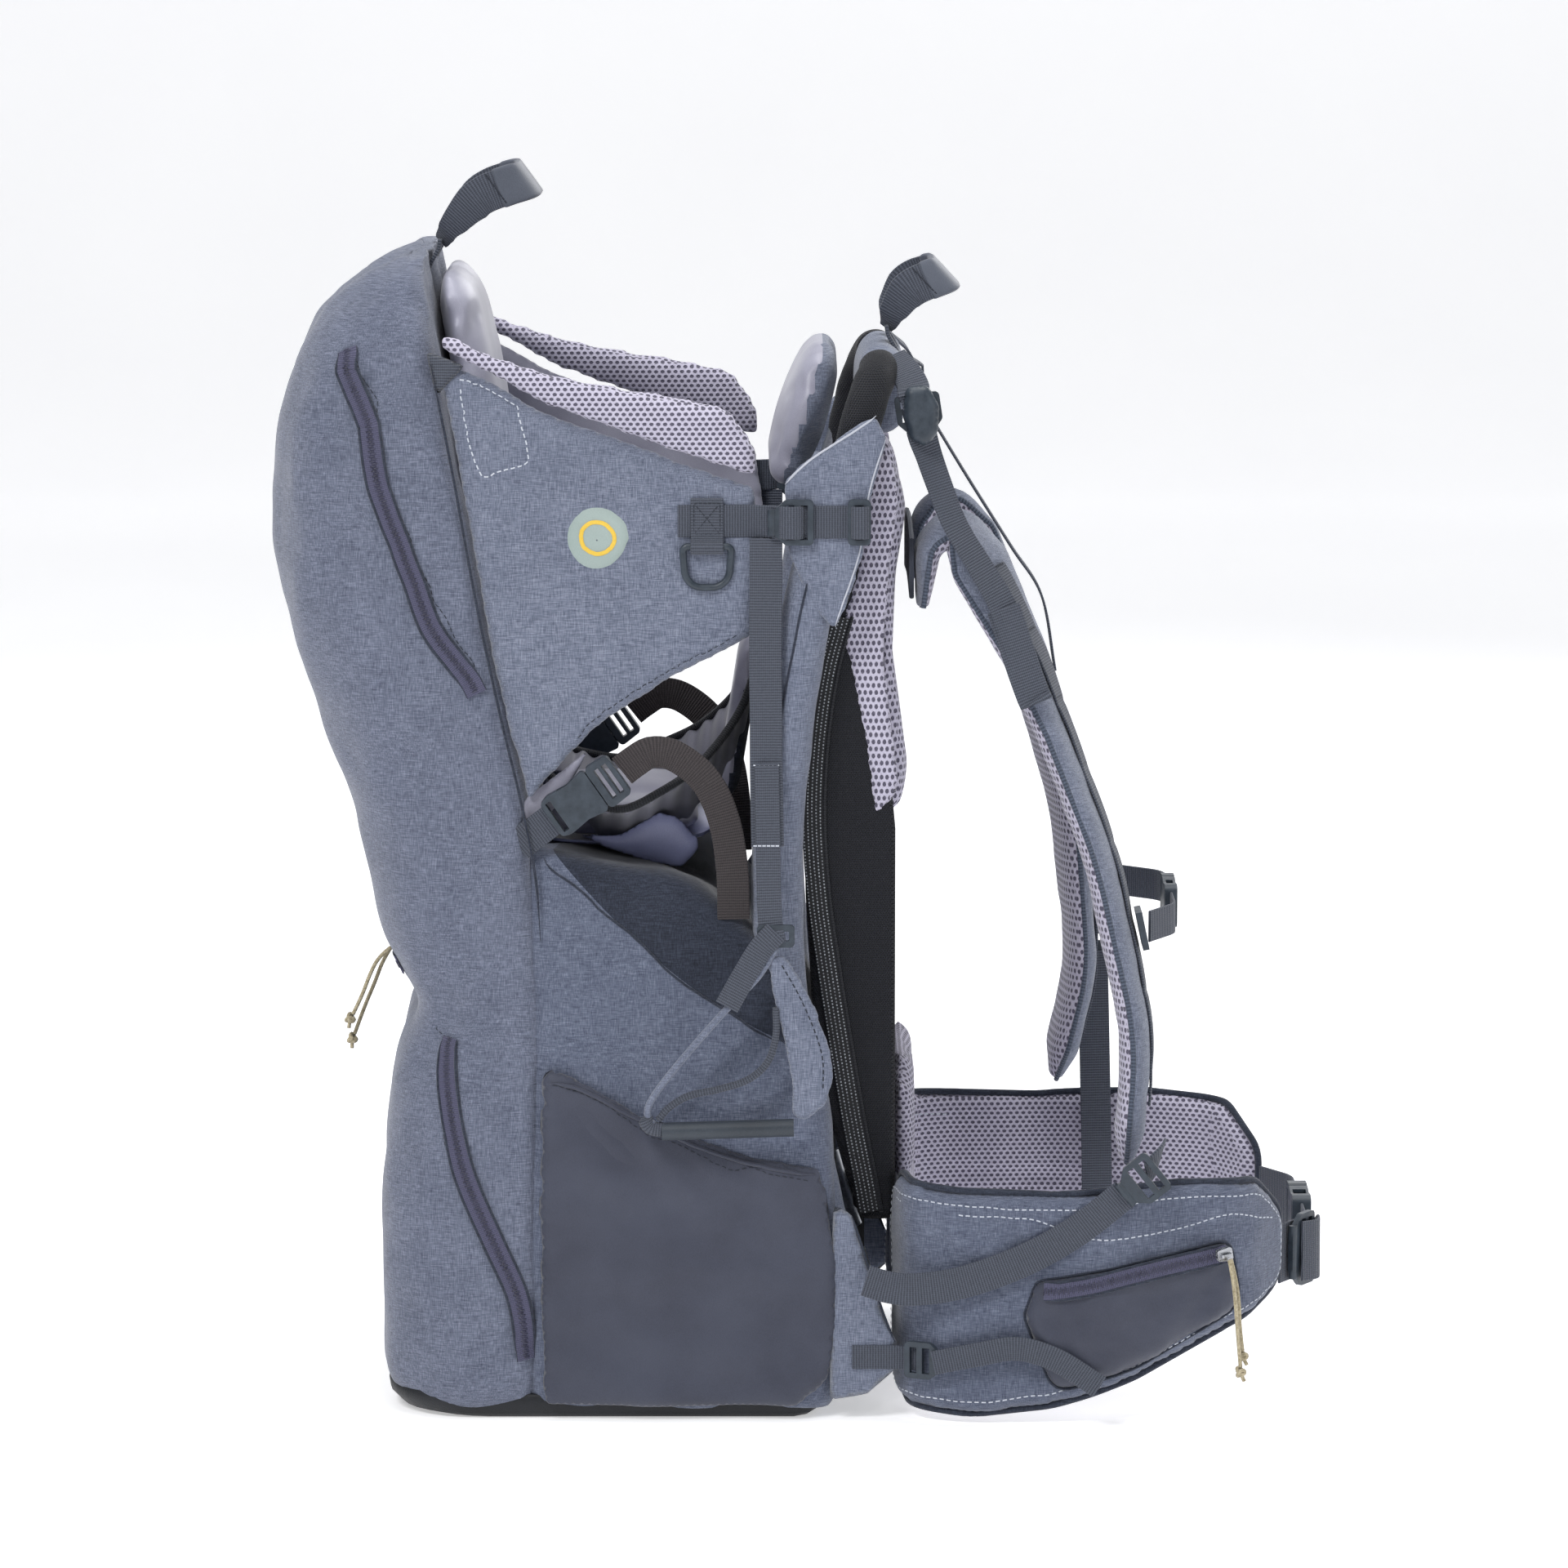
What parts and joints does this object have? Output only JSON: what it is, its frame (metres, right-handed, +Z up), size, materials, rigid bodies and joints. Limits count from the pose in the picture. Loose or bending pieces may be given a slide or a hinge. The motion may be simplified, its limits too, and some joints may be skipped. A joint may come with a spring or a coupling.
{
  "type": "child carrier backpack",
  "caption": "Framed backpack for carrying a child: padded cockpit over a storage bag behind a bowed tube frame, with foot stirrups, hip belt and shoulder straps",
  "frame": {"origin": "middle of the base panel's underside, on the floor that the carrier stands on", "axes": "+X the way the wearer walks, from the bag towards the wearer; +Y the wearer's left; +Z up"},
  "size_m": [0.6558, 0.3566, 0.7716],
  "materials": {
    "frame_tube": "satin anodised tube",
    "bolt_steel": "satin",
    "bracket_plastic": "fine grain",
    "heather_fabric": "heathered two-tone plain weave",
    "stretch_fabric": "smooth stretch weave",
    "spacer_mesh": "three-dimensional spacer mesh with dark holes",
    "black_mesh": "dense black mesh",
    "lining_fabric": "light satin lining",
    "base_fabric": "coated base panel",
    "webbing": "ribbed woven webbing",
    "leg_webbing": "ribbed woven webbing, brown-grey",
    "buckle_plastic": "fine moulded grain",
    "zip_tape": "woven tape with a coil zip",
    "zip_metal": "satin",
    "cord": "braided cord",
    "stirrup_rubber": "matte tube"
  },
  "bodies": {
    "carrier": {"frame_hoop": "frame_tube", "crossbars": "frame_tube", "base_brackets": "bracket_plastic", "base_bolts": "bolt_steel", "base_tube": "frame_tube", "frame_sleeves": "heather_fabric", "back_panel": "black_mesh", "mesh_gussets": "black_mesh", "back_pads": "spacer_mesh", "lumbar_pad": "spacer_mesh", "top_collar": "heather_fabric", "rear_pack": "heather_fabric", "backrest_cushion": "lining_fabric", "cockpit_walls": "heather_fabric", "cockpit_rims": "spacer_mesh", "lower_bag": "heather_fabric", "base_panel": "base_fabric", "side_pockets": "stretch_fabric", "seat_pad": "lining_fabric", "seat_board": "lining_fabric", "seat_front": "lining_fabric", "shoulder_strap_right": "heather_fabric", "shoulder_strap_left": "heather_fabric", "hip_wing_right": "heather_fabric", "hip_wing_left": "heather_fabric", "belt_core": "spacer_mesh", "hip_pockets": "stretch_fabric", "zips": "zip_tape", "webbing_pack": "webbing", "webbing_harness": "webbing", "ladder_locks": "buckle_plastic", "leg_web_right": "leg_webbing", "leg_web_left": "leg_webbing", "buckle_sockets": "buckle_plastic", "hip_web_left": "webbing"},
    "rear_haul": {"haul_loop_rear": "webbing"},
    "front_haul": {"haul_loop_front": "webbing"},
    "d_ring_r": {"d_ring_right": "buckle_plastic"},
    "d_ring_l": {"d_ring_left": "buckle_plastic"},
    "stirrup_r": {"stirrup_loop_right": "heather_fabric", "stirrup_bar_right": "stirrup_rubber"},
    "stirrup_l": {"stirrup_loop_left": "heather_fabric", "stirrup_bar_left": "stirrup_rubber"},
    "leg_buckle_r": {"leg_plug_right": "buckle_plastic"},
    "leg_buckle_l": {"leg_plug_left": "buckle_plastic"},
    "sternum": {"sternum_socket": "buckle_plastic", "sternum_web_right": "webbing", "sternum_web_left": "webbing"},
    "sternum_clip": {"sternum_plug": "buckle_plastic"},
    "hip_clip": {"hip_plug": "buckle_plastic"},
    "zip_lower": {"zip_slider_lower": "zip_metal", "zip_cord_lower_a": "cord", "zip_cord_lower_b": "cord", "zip_knots_lower": "cord"},
    "zip_upper": {"zip_slider_upper": "zip_metal"},
    "zip_hip": {"zip_slider_hip": "zip_metal", "zip_cord_hip_a": "cord", "zip_cord_hip_b": "cord", "zip_knots_hip": "cord"},
    "face_cushion": {"face_pad": "lining_fabric"}
  },
  "joints": [
    {"name": "rear_haul_swing", "type": "hinge", "parent": "carrier", "child": "rear_haul", "pos_m": [-0.106, 0, 0.722], "axis": [0, 1, 0], "range_deg": [-100, 12]},
    {"name": "front_haul_swing", "type": "hinge", "parent": "carrier", "child": "front_haul", "pos_m": [0.172, 0, 0.668], "axis": [0, 1, 0], "range_deg": [-90, 20]},
    {"name": "right_d_ring_swing", "type": "hinge", "parent": "carrier", "child": "d_ring_r", "pos_m": [0.061, -0.1396, 0.5445], "axis": [-1, 0, 0], "range_deg": [0, 75]},
    {"name": "left_d_ring_swing", "type": "hinge", "parent": "carrier", "child": "d_ring_l", "pos_m": [0.061, 0.1396, 0.5445], "axis": [1, 0, 0], "range_deg": [0, 75]},
    {"name": "right_stirrup_swing", "type": "hinge", "parent": "carrier", "child": "stirrup_r", "pos_m": [0.103, -0.1685, 0.301], "axis": [0, -1, 0], "range_deg": [-25, 25]},
    {"name": "left_stirrup_swing", "type": "hinge", "parent": "carrier", "child": "stirrup_l", "pos_m": [0.103, 0.1685, 0.301], "axis": [0, -1, 0], "range_deg": [-25, 25]},
    {"name": "right_leg_buckle", "type": "slide", "parent": "carrier", "child": "leg_buckle_r", "axis": [0.8211, 0, 0.5708], "range_m": [0, 0.028], "deforming": ["leg_web_right"]},
    {"name": "left_leg_buckle", "type": "slide", "parent": "carrier", "child": "leg_buckle_l", "axis": [0.8211, 0, 0.5708], "range_m": [0, 0.028], "deforming": ["leg_web_left"]},
    {"name": "sternum_height", "type": "slide", "parent": "carrier", "child": "sternum", "axis": [0.15, 0, -0.9887], "range_m": [-0.02, 0.02]},
    {"name": "sternum_buckle", "type": "slide", "parent": "sternum", "child": "sternum_clip", "axis": [0, 1, 0], "range_m": [0, 0.028], "deforming": ["sternum_web_left"]},
    {"name": "hip_buckle", "type": "slide", "parent": "carrier", "child": "hip_clip", "axis": [0, 1, 0], "range_m": [0, 0.03], "deforming": ["hip_web_left"]},
    {"name": "lower_zip", "type": "slide", "parent": "carrier", "child": "zip_lower", "axis": [0, 1, 0], "range_m": [-0.08, 0.08]},
    {"name": "upper_zip", "type": "slide", "parent": "carrier", "child": "zip_upper", "axis": [-0.3462, 0, 0.9382], "range_m": [0, 0.06]},
    {"name": "hip_pocket_zip", "type": "slide", "parent": "carrier", "child": "zip_hip", "axis": [-0.9423, -0.297, -0.1547], "range_m": [0, 0.055]},
    {"name": "face_pad_lift", "type": "slide", "parent": "carrier", "child": "face_cushion", "axis": [0.15, 0, 0.9887], "range_m": [0, 0.06]}
  ]
}
